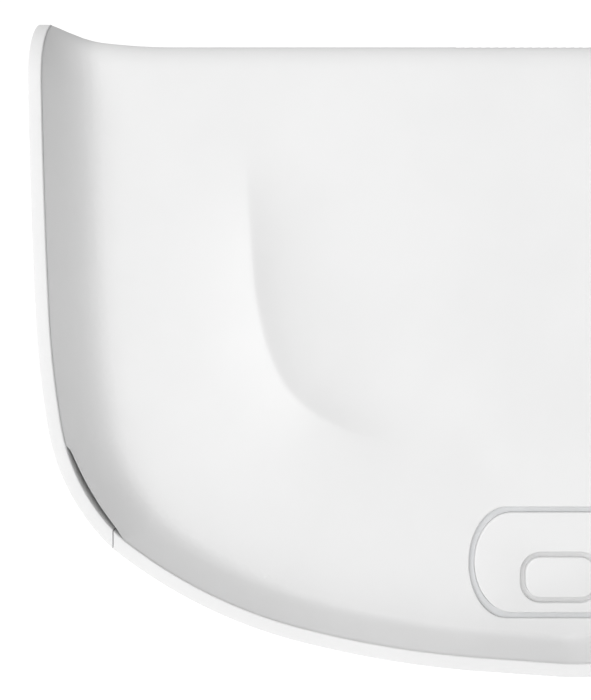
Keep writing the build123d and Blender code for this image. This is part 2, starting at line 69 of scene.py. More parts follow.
RIM_TOP = high("left_cheek").z
BOTTOM = low("bottom_cover").z
RIM_OUT = -low("left_cheek").y
RIM_BACK = -high("left_cheek").y
FACE_OUT = -low("button_cap").y
COVER_BACK = -high("front_cover").y
COVER_EDGE_OUT = -low("front_cover").y
SEAM_X = (high("bottom_cover").x + low("right_cheek").x) / 2
SEAM_GAP = (low("right_cheek").x - high("bottom_cover").x) / 2
BUTTON_CENTRE = ((low("light_ring") + high("light_ring")) / 2).xz
INLAY_CENTRE = ((low("button_inlay") + high("button_inlay")) / 2).xz
CAMERA_CENTRE = ((low("camera_bezel") + high("camera_bezel")) / 2).xz
CAMERA_HOLE = (high("camera_bezel").x - low("camera_bezel").x) / 2
PIR_CENTRE = ((low("pir_lens") + high("pir_lens")) / 2).xz
PIR_HOLE = 4.0
MICROPHONE_CENTRE = ((low("microphone") + high("microphone")) / 2).xz
MICROPHONE_HOLE = 0.6

# Right half of the outline, walked from the bottom centre: (length, heading at its end).
OUTLINE_RUNS = [
    (2.0, 4.0), (7.7, 4.0), (19.7, 14.5), (21.4, 38.0), (1.2, 45.0),
    (14.0, 80.5), (12.5, 87.3), (38.0, 90.0),
]
TOP = 34.4                      # top of the face, level across the middle
FLARE_X = 43.0                  # from here outwards the top curves up to meet the rim
FLARE_RADIUS = 65.0
RIM_THICKNESS = 1.4
COVER_INSET = 1.43              # the face starts just inside the rim
FLANGE_WIDTH = 3.5              # from the outline in, the face is thick right back to the tub
FACE_THICKNESS = 1.8
ROLL_RADIUS = 3.2               # face rolls back to its top
RIM_ROLL = 8.5                  # and so does the rim, on an arc cut short by its level top
RIM_ROLL_CREST = 36.5           # height at which that arc would turn level
ROLL_SHARE = 0.97               # the rolls end just in front of the cover's back
EDGE_ROUND = 0.12               # moulded edges of the rim
HOLE_ROUND = 0.16               # moulded edges of the grooves

COVE_WIDTH = (1.1, 5.2)         # where the wall faces up, and where it faces sideways
COVE_POWER = 2.4                # how fast the cove flattens towards the floor
SLIT_LOW, SLIT_HIGH = -19.5, -10.1
SLIT_WIDTH = 0.5
SLIT_BLUNTNESS = 0.35           # the nearer to 0, the squarer its ends
SLIT_REACH = 1.6                # depth over which the face recovers from the slit's push

# The soft ridge on the left of the face, from its upper end round towards the button.
RIDGE = [
    (-34.9, 24.0), (-34.8, 19.4), (-34.4, 13.8), (-34.0, 7.8), (-33.3, 3.3), (-32.2, -0.6),
    (-30.6, -3.9), (-28.9, -5.8), (-26.7, -7.4), (-23.4, -9.0), (-19.5, -10.0), (-14.0, -10.6),
]
RIDGE_HEIGHT = 1.5
RIDGE_SPREAD = (4.4, 3.7)       # outside and inside of its crest
RIDGE_CREST_ROUND = 0.35
RIDGE_FULL = (0.3, 0.62)        # full height between these shares of the way along it
RELIEF_FADE = (2.5, 6.0)        # insets between which the ridge and dimple come in
DIMPLE = (-9.5, -10.9)
DIMPLE_DEPTH = 0.16
DIMPLE_SPREAD = 2.2

BUTTON_GROOVE = (19.7, 11.7)
BUTTON_GROOVE_WIDTH = 0.65
BUTTON_END = 4.2
INLAY_GROOVE = (8.35, 5.05)
INLAY_GROOVE_WIDTH = 0.58
INLAY_CORNER = 2.0
POCKET_DEPTH = 0.75
CAP_FLANGE = (0.1, 0.8)         # reach beyond the groove's centre line, and thickness
CAP_SWELL = 0.03                # halves the fine gap between the cap and the light ring
SLIVER = 1e-4                   # doubled area under which a triangle is only a line
SPACING = 0.95                  # between the points that fill the face
ROW_PITCH = 0.87                # between their rows, as a share of that: even triangles
HALF_WIDTH = 57                 # how far they spread to each side, before the border trims them
CLEAR_OF_RIDGE = 1.35           # they keep this far from the finer points by the ridge,
CLEAR_OF_BORDER = 0.25          # from the border's bands
CLEAR_OF_HOLE = 0.6             # and from an opening's bands
THINNEST = 0.05                 # the face's back stays this far behind its front
RIM_LENGTH = 58.0               # of a cheek, roughly: it only sets how finely the line is cut
HALF_LENGTH = 105.0             # of half the outline, roughly, and for the same use

SCREW_OUT = 6.9                 # upright hole for the security screw, in the bottom cover's boss
SCREW_HOLE = 1.35
COUNTERBORE = (2.3, 2.4)        # radius and depth
BOSS = ((-4.4, 4.4), (-33.7, -28.9), (5.3, 9.4))


# ---------------------------------------------------------------- camera, light, floor
CAMERA_X = -29.4                # in front of the left half
CAMERA_DISTANCE = 101.75        # from the front of the rim
FLOOR_DROP = 60                 # floor below the doorbell
FILL = (0.84, 0.08)             # world's strength from the left and from the right


def make_camera():
    """The photograph's view: straight at the face, from in front of its left half."""
    data = bpy.data.cameras.new("camera")
    data.lens = 50
    data.clip_start = 0.005
    camera = bpy.data.objects.new("camera", data)
    bpy.context.scene.collection.objects.link(camera)
    camera.location = Vector((CAMERA_X, -(RIM_OUT + CAMERA_DISTANCE), 0)) * MM
    camera.rotation_euler = (math.radians(90), 0, 0)
    bpy.context.scene.camera = camera


def softbox(name, direction, size, share):
    """A square light a metre away; share is what it adds, against a white world's 1."""
    data = bpy.data.lights.new(name, "AREA")
    data.size = size
    data.energy = share * math.pi ** 2
    light = bpy.data.objects.new(name, data)
    light.location = Vector(direction).normalized()
    light.rotation_euler = light.location.to_track_quat("Z", "Y").to_euler()
    light.visible_camera = False
    bpy.context.scene.collection.objects.link(light)


def make_world():
    """White to the eye, and a weaker fill to the object, brighter from the left."""
    world = bpy.data.worlds.new("studio")
    world.use_nodes = True
    tree = world.node_tree
    background = tree.nodes["Background"]
    path = tree.nodes.new("ShaderNodeLightPath")
    direction = tree.nodes.new("ShaderNodeTexCoord")
    split = tree.nodes.new("ShaderNodeSeparateXYZ")
    fill = tree.nodes.new("ShaderNodeMapRange")
    fill.inputs["From Min"].default_value = -1.0
    fill.inputs["To Min"].default_value, fill.inputs["To Max"].default_value = FILL
    strength = tree.nodes.new("ShaderNodeMapRange")
    strength.inputs["To Max"].default_value = 1.1
    tree.links.new(direction.outputs["Generated"], split.inputs["Vector"])
    tree.links.new(split.outputs["X"], fill.inputs["Value"])
    tree.links.new(fill.outputs["Result"], strength.inputs["To Min"])
    tree.links.new(path.outputs["Is Camera Ray"], strength.inputs["Value"])
    tree.links.new(strength.outputs["Result"], background.inputs["Strength"])
    background.inputs["Color"].default_value = (1, 1, 1, 1)
    bpy.context.scene.world = world


def make_stage():
    make_camera()
    make_world()
    softbox("key", (-0.52, -0.84, 0.2), 0.7, 0.39)
    softbox("front", (0.05, -1.0, 0.1), 0.8, 0.06)
    softbox("overhead", (0.1, -0.4, 1.0), 0.8, 0.13)
    mesh = bpy.data.meshes.new("floor")
    side, front, back, level = 0.5, -0.6, 0.1, (BOTTOM - FLOOR_DROP) * MM
    corners = [(-side, front, level), (side, front, level), (side, back, level), (-side, back, level)]
    mesh.from_pydata(corners, [], [(0, 1, 2, 3)])
    floor = bpy.data.objects.new("floor", mesh)
    bpy.context.scene.collection.objects.link(floor)
    floor.data.materials.append(floor_material())
    bpy.context.scene.view_settings.view_transform = "Standard"


# ---------------------------------------------------------------- materials
def principled(name, **values):
    """A new material and its shader, with the sockets named in values set."""
    material = bpy.data.materials.new(name)
    material.use_nodes = True
    shader = material.node_tree.nodes["Principled BSDF"]
    for socket, value in values.items():
        shader.inputs[socket.replace("_", " ")].default_value = value
    return material, shader


def noise(tree, size_mm, detail=3.0, stretch=(1, 1, 1)):
    """A noise whose features are about size_mm across, fixed to the object."""
    place = tree.nodes.new("ShaderNodeTexCoord")
    mapping = tree.nodes.new("ShaderNodeMapping")
    mapping.inputs["Scale"].default_value = [s / (size_mm * MM) for s in stretch]
    texture = tree.nodes.new("ShaderNodeTexNoise")
    texture.inputs["Scale"].default_value = 1.0
    texture.inputs["Detail"].default_value = detail
    tree.links.new(place.outputs["Object"], mapping.inputs["Vector"])
    tree.links.new(mapping.outputs["Vector"], texture.inputs["Vector"])
    return texture.outputs["Fac"]


def vary_colour(material, shader, factor, dark, light, span=(0.35, 0.65)):
    """Base colour that runs from dark to light with a factor."""
    ramp = material.node_tree.nodes.new("ShaderNodeValToRGB")
    ramp.color_ramp.elements[0].position, ramp.color_ramp.elements[1].position = span
    ramp.color_ramp.elements[0].color = (*dark, 1)
    ramp.color_ramp.elements[1].color = (*light, 1)
    material.node_tree.links.new(factor, ramp.inputs["Fac"])
    material.node_tree.links.new(ramp.outputs["Color"], shader.inputs["Base Color"])


def vary_roughness(material, shader, factor, smooth, rough):
    span = material.node_tree.nodes.new("ShaderNodeMapRange")
    span.inputs["To Min"].default_value = smooth
    span.inputs["To Max"].default_value = rough
    material.node_tree.links.new(factor, span.inputs["Value"])
    material.node_tree.links.new(span.outputs["Result"], shader.inputs["Roughness"])


def add_bump(material, shader, factor, depth_mm, strength=1.0):
    bump = material.node_tree.nodes.new("ShaderNodeBump")
    bump.inputs["Distance"].default_value = depth_mm * MM
    bump.inputs["Strength"].default_value = strength
    material.node_tree.links.new(factor, bump.inputs["Height"])
    material.node_tree.links.new(bump.outputs["Normal"], shader.inputs["Normal"])


def moulded_plastic(name, colour, roughness, grain_mm=0.16, grain_depth=0.0022, drift=0.012):
    """Spark-eroded mould texture: fine even grain, faint drift of tone and gloss."""
    material, shader = principled(name, Specular_IOR_Level=0.4)
    tree = material.node_tree
    light = [min(1, c * (1 + drift)) for c in colour]
    dark = [c * (1 - drift) for c in colour]
    vary_colour(material, shader, noise(tree, 14, 2), dark, light)
    vary_roughness(material, shader, noise(tree, 1.8, 4), roughness - 0.05, roughness + 0.05)
    add_bump(material, shader, noise(tree, grain_mm, 2), grain_depth)
    return material


def gloss_plastic(name, colour, roughness=0.12):
    """Polished plastic with the faint orange peel that polishing leaves."""
    material, shader = principled(name, Specular_IOR_Level=0.5, Coat_Weight=0.3, Coat_Roughness=0.05)
    tree = material.node_tree
    vary_colour(material, shader, noise(tree, 4, 3), [c * 0.9 for c in colour], colour)
    vary_roughness(material, shader, noise(tree, 0.7, 4), roughness * 0.7, roughness * 1.4)
    add_bump(material, shader, noise(tree, 1.5, 2), 0.001)
    return material


def clear_glass(name, tint, roughness=0.02):
    """Smoked window with the faintest surface ripple."""
    material, shader = principled(name, Transmission_Weight=0.85, IOR=1.5)
    tree = material.node_tree
    vary_colour(material, shader, noise(tree, 8, 2), [c * 0.92 for c in tint], tint)
    vary_roughness(material, shader, noise(tree, 2, 2), roughness, roughness * 3)
    add_bump(material, shader, noise(tree, 6, 1), 0.0006)
    return material


def frosted(name, tint, weight, roughness):
    """Milky plastic that passes soft light."""
    material, shader = principled(name, Transmission_Weight=weight, IOR=1.45)
    tree = material.node_tree
    vary_colour(material, shader, noise(tree, 3, 2), [c * 0.95 for c in tint], tint)
    vary_roughness(material, shader, noise(tree, 0.5, 3), roughness - 0.06, roughness + 0.06)
    add_bump(material, shader, noise(tree, 0.12, 2), 0.002)
    return material


def metal(name, colour, roughness, brush=(1, 1, 1), brush_mm=0.08):
    """Plated metal, with brushing when the noise is stretched along one axis."""
    material, shader = principled(name, Metallic=1.0)
    tree = material.node_tree
    vary_colour(material, shader, noise(tree, 0.9, 4), [c * 0.82 for c in colour], colour)
    vary_roughness(material, shader, noise(tree, 0.4, 4), roughness - 0.08, roughness + 0.1)
    add_bump(material, shader, noise(tree, brush_mm, 3, brush), 0.002)
    return material


def circuit_board(name):
    """Green solder mask over a lattice of copper tracks, with pads showing through."""
    material, shader = principled(name, Specular_IOR_Level=0.5, Coat_Weight=0.4)
    tree = material.node_tree
    place = tree.nodes.new("ShaderNodeTexCoord")
    tracks = tree.nodes.new("ShaderNodeTexBrick")
    tracks.inputs["Color1"].default_value = (0.012, 0.085, 0.04, 1)
    tracks.inputs["Color2"].default_value = (0.016, 0.11, 0.052, 1)
    tracks.inputs["Mortar"].default_value = (0.03, 0.2, 0.09, 1)
    tracks.inputs["Scale"].default_value = 1.0
    tracks.inputs["Mortar Size"].default_value = 0.09
    tracks.inputs["Brick Width"].default_value = 3.2
    tracks.inputs["Row Height"].default_value = 0.8
    turn = tree.nodes.new("ShaderNodeMapping")
    turn.inputs["Rotation"].default_value = (math.radians(90), 0, 0)
    turn.inputs["Scale"].default_value = (1 / MM, 1 / MM, 1 / MM)
    pads = tree.nodes.new("ShaderNodeTexVoronoi")
    pads.inputs["Scale"].default_value = 0.55
    is_pad = tree.nodes.new("ShaderNodeMath")
    is_pad.operation = "LESS_THAN"
    is_pad.inputs[1].default_value = 0.16
    mix = tree.nodes.new("ShaderNodeMix")
    mix.data_type = "RGBA"
    mix.inputs["B"].default_value = (0.7, 0.62, 0.4, 1)
    links = tree.links
    links.new(place.outputs["Object"], turn.inputs["Vector"])
    links.new(turn.outputs["Vector"], tracks.inputs["Vector"])
    links.new(turn.outputs["Vector"], pads.inputs["Vector"])
    links.new(pads.outputs["Distance"], is_pad.inputs[0])
    links.new(is_pad.outputs["Value"], mix.inputs["Factor"])
    links.new(tracks.outputs["Color"], mix.inputs["A"])
    links.new(mix.outputs["Result"], shader.inputs["Base Color"])
    links.new(is_pad.outputs["Value"], shader.inputs["Metallic"])
    vary_roughness(material, shader, noise(tree, 0.8, 3), 0.22, 0.38)
    add_bump(material, shader, tracks.outputs["Fac"], 0.02, 0.6)
    return material


def cell_foil(name):
    """Crinkled silver laminate of a pouch cell."""
    material, shader = principled(name, Metallic=0.85)
    tree = material.node_tree
    vary_colour(material, shader, noise(tree, 5, 4), (0.5, 0.51, 0.53), (0.68, 0.69, 0.71))
    vary_roughness(material, shader, noise(tree, 1.2, 4), 0.26, 0.42)
    add_bump(material, shader, noise(tree, 2.2, 5), 0.05, 0.7)
    return material


def rubber(name):
    material, shader = principled(name, Specular_IOR_Level=0.3)
    tree = material.node_tree
    vary_colour(material, shader, noise(tree, 2, 4), (0.035, 0.035, 0.036), (0.06, 0.06, 0.062))
    vary_roughness(material, shader, noise(tree, 0.6, 3), 0.62, 0.8)
    add_bump(material, shader, noise(tree, 0.1, 3), 0.006)
    return material


def floor_material():
    """Pale floor, bright enough to run into the white background."""
    material, shader = principled("floor_pale", Roughness=0.9, Specular_IOR_Level=0.1)
    shader.inputs["Base Color"].default_value = (0.88, 0.88, 0.88, 1)
    shader.inputs["Emission Color"].default_value = (1, 1, 1, 1)
    shader.inputs["Emission Strength"].default_value = 0.4
    return material


WHITE = (0.82, 0.82, 0.82)
MATERIALS = {
    "shell_plastic": moulded_plastic("shell_white", WHITE, 0.52),
    "button_plastic": moulded_plastic("button_white", WHITE, 0.48, grain_mm=0.12),
    "bracket_plastic": moulded_plastic("bracket_grey", (0.62, 0.62, 0.62), 0.58, grain_depth=0.005),
    "tray_plastic": moulded_plastic("tray_black", (0.03, 0.03, 0.032), 0.5, grain_depth=0.004, drift=0.08),
    "component_black": moulded_plastic(
        "component_black", (0.02, 0.02, 0.02), 0.45, grain_depth=0.003, drift=0.1),
    "black_gloss": gloss_plastic("bezel_black", (0.012, 0.012, 0.014)),
    "led_resin": gloss_plastic("led_resin", (0.04, 0.012, 0.02), 0.08),
    "window_glass": clear_glass("smoked_window", (0.16, 0.16, 0.18)),
    "lens_glass": clear_glass("coated_lens", (0.2, 0.14, 0.42)),
    "milky_plastic": frosted("milky_lens", (0.86, 0.86, 0.84), 0.25, 0.4),
    "light_guide": frosted("light_guide", (0.84, 0.85, 0.86), 0.15, 0.35),
    "circuit_board": circuit_board("solder_mask"),
    "tin_plate": metal("tin_plate", (0.72, 0.72, 0.7), 0.34),
    "screw_steel": metal("plated_steel", (0.6, 0.6, 0.6), 0.3, (1, 1, 12)),
    "gold_contact": metal("gold_flash", (0.86, 0.63, 0.27), 0.26),
    "antenna_copper": metal("copper_film", (0.78, 0.44, 0.25), 0.3),
    "seal_rubber": rubber("silicone_black"),
    "cell_wrap": cell_foil("pouch_foil"),
}


# ---------------------------------------------------------------- mesh helpers
def make_piece(name, points, faces, body, slot, replaces, sharp_degrees=35, tools=()):
    """A mesh piece from millimetre points, riding on a body in place of CAD nodes."""
    mesh = bpy.data.meshes.new(name)
    mesh.from_pydata([tuple(np.array(p) * MM) for p in points], [], faces)
    mesh.validate()
    tidy(mesh)
    piece = bpy.data.objects.new(name, mesh)
    bpy.context.scene.collection.objects.link(piece)
    for operation, solid in tools:
        combine(piece, operation, solid)
    mesh = piece.data
    mesh.materials.clear()
    mesh.materials.append(MATERIALS[slot])
    mesh.shade_smooth()
    mesh.set_sharp_from_angle(angle=math.radians(sharp_degrees))
    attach(piece, body)
    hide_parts(*replaces)
    return piece


def tidy(mesh):
    """Merges doubled points, drops empty faces and turns every face outwards."""
    work = bmesh.new()
    work.from_mesh(mesh)
    bmesh.ops.remove_doubles(work, verts=work.verts, dist=0.002 * MM)
    bmesh.ops.dissolve_degenerate(work, edges=work.edges, dist=0.001 * MM)
    bmesh.ops.recalc_face_normals(work, faces=work.faces)
    work.to_mesh(mesh)
    work.free()


def combine(piece, operation, solid):
    """Joins a solid to a piece, or cuts it away, and leaves the result as the piece's mesh."""
    mesh = bpy.data.meshes.new("tool")
    solid.to_mesh(mesh)
    solid.free()
    tool = bpy.data.objects.new("tool", mesh)
    bpy.context.scene.collection.objects.link(tool)
    modifier = piece.modifiers.new("tool", "BOOLEAN")
    modifier.operation = operation
    modifier.solver = "EXACT"
    modifier.object = tool
    bpy.context.view_layer.update()
    evaluated = piece.evaluated_get(bpy.context.evaluated_depsgraph_get())
    result = bpy.data.meshes.new_from_object(evaluated)
    piece.modifiers.clear()
    piece.data = result
    bpy.data.objects.remove(tool)


def box_solid(x, z, out):
    """A box by its low and high X, Z and depth."""
    solid = bmesh.new()
    centre = Vector(in_space(sum(x) / 2, sum(z) / 2, sum(out) / 2)) * MM
    size = [(end - start) * MM for start, end in (x, out, z)]
    bmesh.ops.create_cube(solid, matrix=Matrix.Translation(centre) @ Matrix.Diagonal((*size, 1)))
    return solid


def upright_solid(radius, z):
    """A cylinder on the security screw's axis, by its low and high Z."""
    solid = bmesh.new()
    centre = Vector(in_space(0, sum(z) / 2, SCREW_OUT)) * MM
    bmesh.ops.create_cone(solid, cap_ends=True, segments=48, radius1=radius * MM, radius2=radius * MM,
                          depth=(z[1] - z[0]) * MM, matrix=Matrix.Translation(centre))
    return solid


def in_space(x, z, out):
    return (x, -out, z)


def rim_crest(x):
    """Height of the rim's level top."""
    return np.full_like(x, RIM_TOP)


def face_crest(x):
    """Height of the face's top edge: level, then curving up to the rim at both ends."""
    beyond = np.clip(np.abs(x) - FLARE_X, 0, None)
    return np.minimum(TOP + FLARE_RADIUS - np.sqrt(FLARE_RADIUS ** 2 - beyond ** 2), RIM_TOP)


def half_outline(inset, crest):
    """Right half of the outline moved inwards, from the bottom centre up to a crest."""
    x, z, heading = 0.0, BOTTOM + inset, 0.0
    points = [(x, z)]
    for length, end in OUTLINE_RUNS:
        turn = math.radians(end - heading)
        count = max(2, int(length / 0.15))
        step = (length - inset * turn) / count
        for index in range(count):
            angle = math.radians(heading) + turn * (index + 0.5) / count
            x += step * math.cos(angle)
            z += step * math.sin(angle)
            points.append((x, z))
        heading = end
    points = np.array(points)
    return cut_line(points, points[:, 1] - crest(points[:, 0]), keep_low=True)


def cut_line(points, level, keep_low):
    """The part of a line where a rising level is below or above zero, cut exactly."""
    after = int(np.argmax(level > 0))
    share = level[after - 1] / (level[after - 1] - level[after])
    crossing = points[after - 1] + (points[after] - points[after - 1]) * share
    if keep_low:
        return np.vstack([points[:after], crossing])
    return np.vstack([crossing, points[after:]])


def resample(points, fractions):
    """Points of a line at given fractions of its length."""
    steps = np.hypot(*np.diff(points, axis=0).T)
    along = np.concatenate([[0], np.cumsum(steps)])
    along /= along[-1]
    return np.stack([np.interp(fractions, along, points[:, i]) for i in (0, 1)], axis=1)


def roll_back(below_crest, radius):
    """How far a rolled top edge has dropped back at a distance below its crest."""
    rise = np.clip(radius - below_crest, 0, radius * 0.9995)
    return radius - np.sqrt(radius ** 2 - rise ** 2)


def even_then_fine(length):
    """Fractions of a line: even steps, with fine ones over the rolled top edge."""
    roll_share = RIM_ROLL / length
    even = np.linspace(0, 1 - roll_share, int(length / 0.55))
    fine = 1 - roll_share + roll_share * np.sin(np.linspace(0, math.pi / 2, 16)[1:])
    return np.concatenate([even, fine])


# ---------------------------------------------------------------- rim: cheeks and bottom cover
def rim_section():
    """Closed section of the rim as (inset, out), with rounded front edges."""
    section = [(0.0, RIM_BACK)]
    angles = np.linspace(0, math.pi / 2, 6)
    for angle in angles:
        section.append((EDGE_ROUND * (1 - math.cos(angle)), RIM_OUT - EDGE_ROUND * (1 - math.sin(angle))))
    for angle in angles:
        section.append((RIM_THICKNESS - EDGE_ROUND * (1 - math.sin(angle)),
                        RIM_OUT - EDGE_ROUND * (1 - math.cos(angle))))
    section.append((RIM_THICKNESS, RIM_BACK))
    return section


def sweep(lines, section):
    """Faces of a closed section swept along a line; lines holds each section point's line."""
    points, faces = [], []
    count, length = len(section), len(lines[0])
    for (_, out), line in zip(section, lines):
        rolls = roll_back(RIM_ROLL_CREST - line[:, 1], RIM_ROLL) if out > RIM_BACK else np.zeros(length)
        points += [in_space(x, z, out - roll) for (x, z), roll in zip(line, rolls)]
    for row in range(count):
        after = (row + 1) % count
        for step in range(length - 1):
            a, b = row * length + step, after * length + step
            faces.append((a, a + 1, b + 1, b))
    faces.append([row * length for row in range(count)])
    faces.append([row * length + length - 1 for row in range(count)][::-1])
    return points, faces


def cheek(side):
    section = rim_section()
    lines = []
    for inset, _ in section:
        line = half_outline(inset, rim_crest)
        line = cut_line(line, line[:, 0] - (SEAM_X + SEAM_GAP), keep_low=False)
        lines.append(resample(line, even_then_fine(RIM_LENGTH)) * (side, 1))
    name = "left_cheek" if side < 0 else "right_cheek"
    points, faces = sweep(lines, section)
    return make_piece(name + "_shell", points, faces, "housing", "shell_plastic", [name])


def bottom_rim():
    section = rim_section()
    lines = []
    for inset, _ in section:
        half = half_outline(inset, rim_crest)
        half = cut_line(half, half[:, 0] - (SEAM_X - SEAM_GAP), keep_low=True)
        half = resample(half, np.linspace(0, 1, 90))
        lines.append(np.vstack([half[:0:-1] * (-1, 1), half]))
    points, faces = sweep(lines, section)
    radius, depth = COUNTERBORE
    tools = [
        ("UNION", box_solid(*BOSS)),
        ("DIFFERENCE", upright_solid(SCREW_HOLE, (BOTTOM - 1, BOSS[1][1] + 1))),
        ("DIFFERENCE", upright_solid(radius, (BOTTOM - 1, BOTTOM + depth))),
    ]
    return make_piece("bottom_cover_shell", points, faces, "battery_cartridge", "shell_plastic",
                      ["bottom_cover"], tools=tools)


# ---------------------------------------------------------------- scooped face
def full_line(inset, fractions):
    """The whole outline moved inwards, from the left of the top edge to the right."""
    half = resample(half_outline(inset, face_crest), fractions)
    return np.vstack([half[:0:-1] * (-1, 1), half])


def slit_bump(line):
    """How far the corner slits push a line in, by its height: a blunt-ended crescent."""
    share = np.clip((line[:, 1] - SLIT_LOW) / (SLIT_HIGH - SLIT_LOW), 0, 1)
    return SLIT_WIDTH * np.sin(math.pi * share) ** SLIT_BLUNTNESS


def slit_fade(depth):
    """How the push dies away with depth into the face."""
    return np.exp(-np.maximum(depth, 0) / SLIT_REACH)


def inward(line):
    """Unit directions towards the inside of an outline that runs left, down and right."""
    along = np.gradient(line, axis=0)
    along /= np.hypot(*along.T)[:, None]
    return np.stack([-along[:, 1], along[:, 0]], axis=1)


def rounding(distance, radius):
    """How far a rounded edge has dropped at a distance from it."""
    reach = np.clip(radius - distance, 0, radius)
    return radius - np.sqrt(np.maximum(radius ** 2 - reach ** 2, 0))


def distance_to(points, line):
    """Distance of points to a line, and the place along it of the nearest point."""
    start, step = line[:-1], np.diff(line, axis=0)
    length = (step ** 2).sum(1)
    best = np.full(len(points), 1e9)
    place = np.zeros(len(points))
    for index in range(len(start)):
        gap = points - start[index]
        share = np.clip(gap @ step[index] / length[index], 0, 1)
        distance = np.hypot(*(gap - share[:, None] * step[index]).T)
        closer = distance < best
        best[closer] = distance[closer]
        place[closer] = index + share[closer]
    return best, place / len(start)


def smooth_curve(knots, count):
    """A Catmull-Rom curve through the knots."""
    knots = np.array(knots)
    ends = np.vstack([2 * knots[0] - knots[1], knots, 2 * knots[-1] - knots[-2]])
    points = []
    for index in range(len(knots) - 1):
        a, b, c, d = ends[index:index + 4]
        for t in np.linspace(0, 1, count, endpoint=False):
            points.append(0.5 * (2 * b + (c - a) * t + (2 * a - 5 * b + 4 * c - d) * t ** 2
                                 + (3 * b - a - 3 * c + d) * t ** 3))
    return np.vstack([points, knots[-1]])


def smooth_step(value, start, end):
    share = np.clip((value - start) / (end - start), 0, 1)
    return share * share * (3 - 2 * share)


def ridge_relief(points):
    """Height of the soft ridge and the dimple at its end, on one side of the face."""
    crest = smooth_curve(RIDGE, 6)
    distance, place = distance_to(points, crest)
    nearest = np.stack([np.interp(place, np.linspace(0, 1, len(crest)), crest[:, i]) for i in (0, 1)], axis=1)
    outside = (nearest - points).sum(axis=1) > 0
    outer, inner = RIDGE_SPREAD
    spread = np.where(outside, outer, inner)
    full_from, full_to = RIDGE_FULL
    fade = smooth_step(place, 0.0, full_from) * (1 - smooth_step(place, full_to, 1.0))
    softened = np.hypot(distance, RIDGE_CREST_ROUND) - RIDGE_CREST_ROUND
    height = RIDGE_HEIGHT * fade * np.exp(-softened / spread)
    dimple = np.exp(-((points - DIMPLE) ** 2).sum(1) / (2 * DIMPLE_SPREAD ** 2))
    return height - DIMPLE_DEPTH * dimple


def face_height(points, edge, sideways):
    """How far out the face is: cove by distance from the rim, ridge, and rolled top."""
    upward, across = COVE_WIDTH
    width = upward + (across - upward) * sideways
    climb = (1 - np.clip((edge - COVER_INSET) / width, 0, 1)) ** COVE_POWER
    out = FACE_OUT + climb * (COVER_EDGE_OUT - FACE_OUT)
    relief = ridge_relief(points) + ridge_relief(points * (-1, 1))
    out += relief * smooth_step(edge, *RELIEF_FADE)
    face_roll = roll_back(face_crest(points[:, 0]) - points[:, 1], ROLL_RADIUS)
    rim_roll = roll_back(RIM_ROLL_CREST - points[:, 1], RIM_ROLL)
    return out - (face_roll + climb * (rim_roll - face_roll)) * ROLL_SHARE


def ellipse_pill(growth, count=96):
    """The button's outline as a closed loop: straight top and bottom, half-ellipse ends."""
    width, height = BUTTON_GROOVE[0] + 2 * growth, BUTTON_GROOVE[1] + 2 * growth
    straight = width / 2 - BUTTON_END
    loop = []
    for side in (1, -1):
        for angle in np.linspace(-math.pi / 2, math.pi / 2, count // 2 - 16):
            reach = straight + BUTTON_END * math.cos(angle)
            loop.append((side * reach, side * height / 2 * math.sin(angle)))
        for share in np.linspace(1, -1, 18)[1:-1]:
            loop.append((side * straight * share, side * height / 2))
    return np.array(loop) + BUTTON_CENTRE


def rounded_pill(growth, count=64):
    """The inlay's outline as a closed loop: a rectangle with round corners."""
    width, height = INLAY_GROOVE[0] + 2 * growth, INLAY_GROOVE[1] + 2 * growth
    radius = INLAY_CORNER + growth
    loop = []
    for corner in range(4):
        side, rise = ((1, -1), (1, 1), (-1, 1), (-1, -1))[corner]
        start = (-0.5 + 0.5 * corner) * math.pi
        for angle in np.linspace(start, start + math.pi / 2, count // 4):
            loop.append((side * (width / 2 - radius) + radius * math.cos(angle),
                         rise * (height / 2 - radius) + radius * math.sin(angle)))
    return np.array(loop) + INLAY_CENTRE


def ring(centre, radius, count):
    angles = np.linspace(0, 2 * math.pi, count, endpoint=False)
    return np.stack([np.cos(angles), np.sin(angles)], axis=1) * radius + np.array(centre)


def face_holes():
    """Each opening in the face, as a function that gives its loop grown by a margin."""
    groove = BUTTON_GROOVE_WIDTH / 2
    return [
        lambda growth: ellipse_pill(groove + growth),
        lambda growth: ring(CAMERA_CENTRE, CAMERA_HOLE + growth, 96),
        lambda growth: ring(PIR_CENTRE, PIR_HOLE + growth, 64),
        lambda growth: ring(MICROPHONE_CENTRE, MICROPHONE_HOLE + growth, 24),
    ]


class Sheet:
    """Points and faces of the face seen from the front, gathered before they get heights."""

    def __init__(self):
        self.points, self.insets, self.drops, self.faces = [], [], [], []

    def add(self, points, drop=0.0, inset=None):
        first = len(self.points)
        self.points.extend(map(tuple, points))
        self.drops.extend([drop] * len(points))
        self.insets.extend([inset] * len(points))
        return list(range(first, len(self.points)))

    def band(self, inner, outer, closed):
        pairs = list(zip(range(len(inner)), range(1, len(inner))))
        if closed:
            pairs.append((len(inner) - 1, 0))
        for a, b in pairs:
            self.faces.append((inner[a], inner[b], outer[b], outer[a]))


def add_border(sheet):
    """Bands that follow the rim: the wall, its cove and the slits; returns the inner line."""
    steps = [0, 0.06, 0.14, 0.24, 0.36, 0.5, 0.66, 0.84, 1.04, 1.28, 1.54, 1.8]
    fractions = even_then_fine(HALF_LENGTH)
    previous = None
    for step in steps:
        line = full_line(COVER_INSET + step, fractions)
        push = slit_bump(line) * slit_fade(step)
        rows = sheet.add(line + inward(line) * push[:, None], inset=COVER_INSET + step)
        if previous:
            sheet.band(previous, rows, closed=False)
        previous = rows
    return previous


